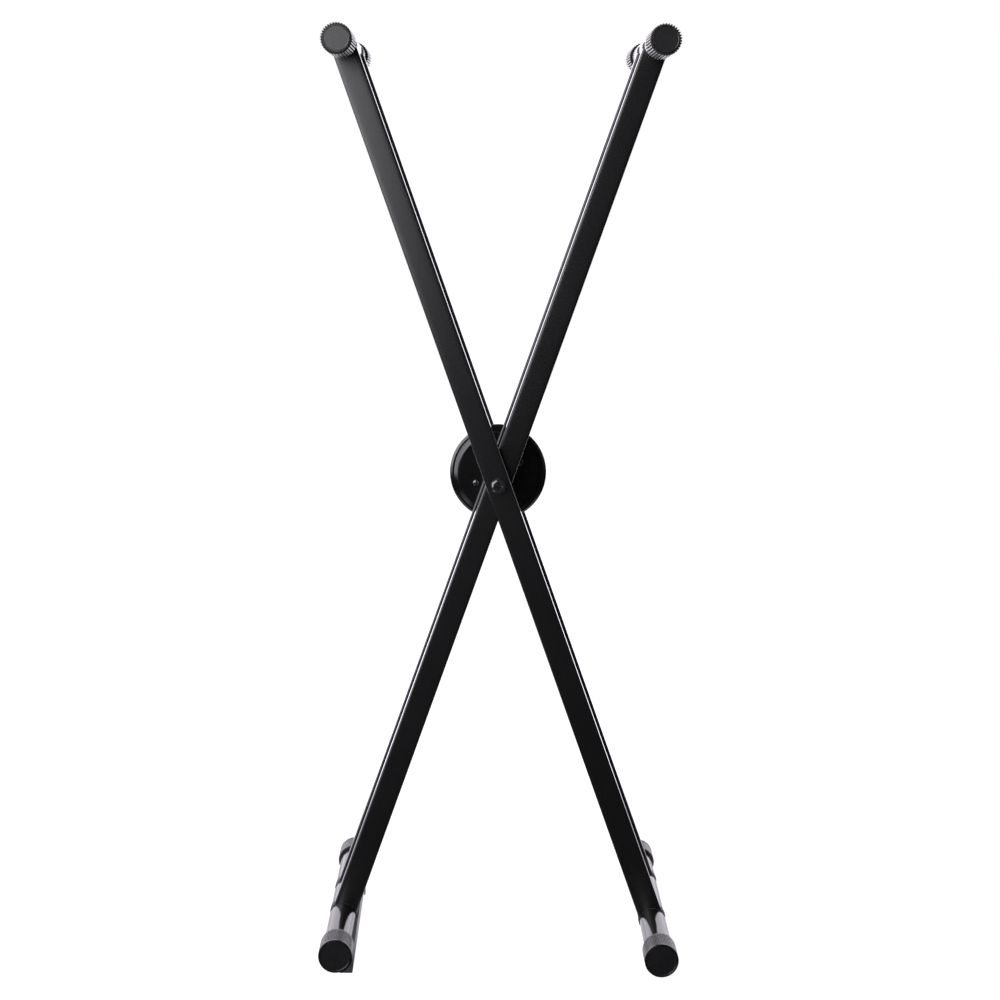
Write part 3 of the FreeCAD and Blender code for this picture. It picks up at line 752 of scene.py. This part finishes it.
studio = {"floorHalf": 7.0, "floorLines": 9, "floorGlow": 0.90, "floorShade": 0.26, "floorBounce": 0.25,
          "floorFront": 0.03, "floorBack": 1.0, "floorMiddle": 0.85, "floorFar": 2.2,
          "sweepFrom": -0.22, "sweepTo": -0.04, "middleFrom": 0.05, "middleTo": 0.25,
          "farFrom": 0.45, "farTo": 0.9, "patch": 1.0, "patchFrom": -0.28, "patchTo": -0.42,
          "spread": 0.2, "rimInner": 0.5, "rimOuter": 0.9,
          "front": 0.03, "back": 1.4, "turnFrom": -0.35, "turnTo": 0.10,
          "flag": 0.60, "flagFrom": 0.30, "flagTo": 0.65, "hot": 1.95, "hotFrom": 0.95, "hotTo": 0.985,
          "tint": (0.96, 0.91, 1.0), "lampTint": (0.96, 0.94, 1.0)}
floorCount = studio["floorLines"]
steps = np.linspace(-studio["floorHalf"], studio["floorHalf"], floorCount)
floorX, floorY = np.meshgrid(steps, steps)
floorIndex = np.arange(floorCount ** 2).reshape(floorCount, floorCount)
floorQuads = np.stack([floorIndex[:-1, :-1], floorIndex[:-1, 1:], floorIndex[1:, 1:], floorIndex[1:, :-1]],
                      axis=-1)
floorMesh = bpy.data.meshes.new("floor")
floorMesh.from_pydata(np.stack([floorX, floorY, 0 * floorX], axis=-1).reshape(-1, 3).tolist(), [],
                      floorQuads.reshape(-1, 4).tolist())
floor = bpy.data.objects.new("floor", floorMesh)
bpy.context.scene.collection.objects.link(floor)

# white for the camera, plain diffuse for the lamps, and in reflections a painted glow: the floor emits light that
# only reflections see, dark in front of the stand, bright behind it and on the left, fading out to both sides
floorMaterial, floorFinish = newFinish("whiteFloor")
camera, glossy, through = floorFinish.rays("Is Camera Ray", "Is Glossy Ray", "Is Transmission Ray")
mirrored = floorFinish.node("ShaderNodeMath", {"operation": "ADD", "use_clamp": True},
                            {0: glossy, 1: through})
sideward, depthward = floorFinish.split(floorFinish.place())[:2]
aside = floorFinish.math("ABSOLUTE", sideward)
sweep = floorFinish.ease(depthward, studio["sweepFrom"], studio["sweepTo"])
middle = floorFinish.ease(depthward, studio["middleFrom"], studio["middleTo"])
far = floorFinish.ease(depthward, studio["farFrom"], studio["farTo"])
patch = floorFinish.ease(sideward, studio["patchTo"], studio["patchFrom"], studio["patch"], 0.0)
rim = floorFinish.ease(aside - depthward * studio["spread"], studio["rimInner"], studio["rimOuter"], 1.0, 0.0)
reflectionGlowShape = (patch * (1 - sweep) + sweep * (studio["floorBack"] - studio["floorFront"])
         + middle * (studio["floorMiddle"] - studio["floorBack"])
         + far * (studio["floorFar"] - studio["floorMiddle"]))
reflectionGlowStrength = studio["floorFront"] + rim * reflectionGlowShape
# painted reflection: the floor glows with this strength for glossy rays only
glowInReflections = floorFinish.node("ShaderNodeEmission", None, {"Color": (*studio["tint"], 1), "Strength": reflectionGlowStrength})
glow = floorFinish.node("ShaderNodeEmission", None, {"Strength": studio["floorGlow"]})
shade = floorFinish.node("ShaderNodeBsdfDiffuse", None, {"Color": (*[studio["floorShade"]] * 3, 1)})
lit = floorFinish.node("ShaderNodeAddShader", None, {0: glow, 1: shade})
bounce = floorFinish.node("ShaderNodeBsdfDiffuse", None, {"Color": (*[studio["floorBounce"]] * 3, 1)})
unseen = floorFinish.node("ShaderNodeMixShader", None, {0: mirrored, 1: bounce, 2: glowInReflections})
mixed = floorFinish.node("ShaderNodeMixShader", None, {0: camera, 1: unseen, 2: lit})
floorFinish.node("ShaderNodeOutputMaterial", None, {"Surface": mixed})
floorMesh.materials.append(floorMaterial)

# white for the camera; to all else dark in front, light behind, hottest straight behind and flagged on
# the right
world = bpy.data.worlds.new("studioWorld")
bpy.context.scene.world = world
world.use_nodes = True
sky = Finish(world.node_tree)
sideways, facing = sky.split(sky.node("ShaderNodeTexCoord", output=0))[:2]
rise = sky.ease(facing, studio["turnFrom"], studio["turnTo"], studio["front"], studio["back"])
hot = sky.ease(facing, studio["hotFrom"], studio["hotTo"], 0.0, studio["hot"] - studio["back"])
flag = sky.ease(sideways, studio["flagFrom"], studio["flagTo"], 1.0, studio["flag"])
cameraRay, = sky.rays("Is Camera Ray")
strength = cameraRay + (1 - cameraRay) * (rise * flag + hot)
colour = sky.tint(cameraRay, studio["tint"], (1, 1, 1))
backdrop = sky.node("ShaderNodeBackground", None, {"Color": colour, "Strength": strength})
sky.node("ShaderNodeOutputWorld", None, {"Surface": backdrop})

softboxes = {
    "frontBox": {"at": (-0.85, -2.9, 1.25), "aim": (-0.1, 0, 0.8), "size": (1.15, 1.5), "power": 28},
    "keyBox": {"at": (-1.6, -1.2, 1.25), "aim": (0, 0, 0.5), "size": (2.2, 2.5), "power": 70},
    "leftBox": {"at": (-2.2, 0.65, 1.5), "aim": (-0.3, 0.65, 0.8), "size": (3.1, 2.0), "power": 30},
    "rightBox": {"at": (2.2, 0.9, 1.7), "aim": (0.3, 0.9, 0.9), "size": (2.6, 1.6), "power": 10},
    "topBox": {"at": (0, 0.6, 2.9), "aim": (0, 0, 0.5), "size": (2.0, 1.6), "power": 30},
}
for name, box in softboxes.items():
    lamp = bpy.data.lights.new(name, "AREA")
    lamp.shape = "RECTANGLE"
    lamp.size, lamp.size_y = box["size"]
    lamp.energy = box["power"]
    lamp.color = studio["lampTint"]
    light = bpy.data.objects.new(name, lamp)
    light.location = box["at"]
    light.rotation_euler = (Vector(box["aim"]) - Vector(box["at"])).to_track_quat("-Z", "Y").to_euler()
    light.visible_camera = False
    bpy.context.scene.collection.objects.link(light)

lens = {"at": (-0.01752, -2.73634, 0.8205), "pitch": 0.10676, "yaw": 0.00704, "roll": 0.00356,
        "focalPixels": 2482.9, "picture": 1000, "sensor": 36.0, "shift": -0.05}
level = math.cos(lens["pitch"])
forward = Vector((math.sin(lens["yaw"]) * level, math.cos(lens["yaw"]) * level, -math.sin(lens["pitch"])))
right = forward.cross(Vector((0, 0, 1))).normalized()
tilt = Matrix.Rotation(-lens["roll"], 3, forward)
axes = Matrix((tilt @ right, tilt @ right.cross(forward), -forward)).transposed()
view = bpy.data.cameras.new("camera")
view.sensor_width = lens["sensor"]
view.lens = lens["focalPixels"] / lens["picture"] * lens["sensor"]
view.shift_y = lens["shift"]
eye = bpy.data.objects.new("camera", view)
eye.matrix_world = Matrix.Translation(lens["at"]) @ axes.to_4x4()
bpy.context.scene.collection.objects.link(eye)
bpy.context.scene.camera = eye
bpy.context.scene.view_settings.view_transform = "Standard"
print("stage, lights and camera made")
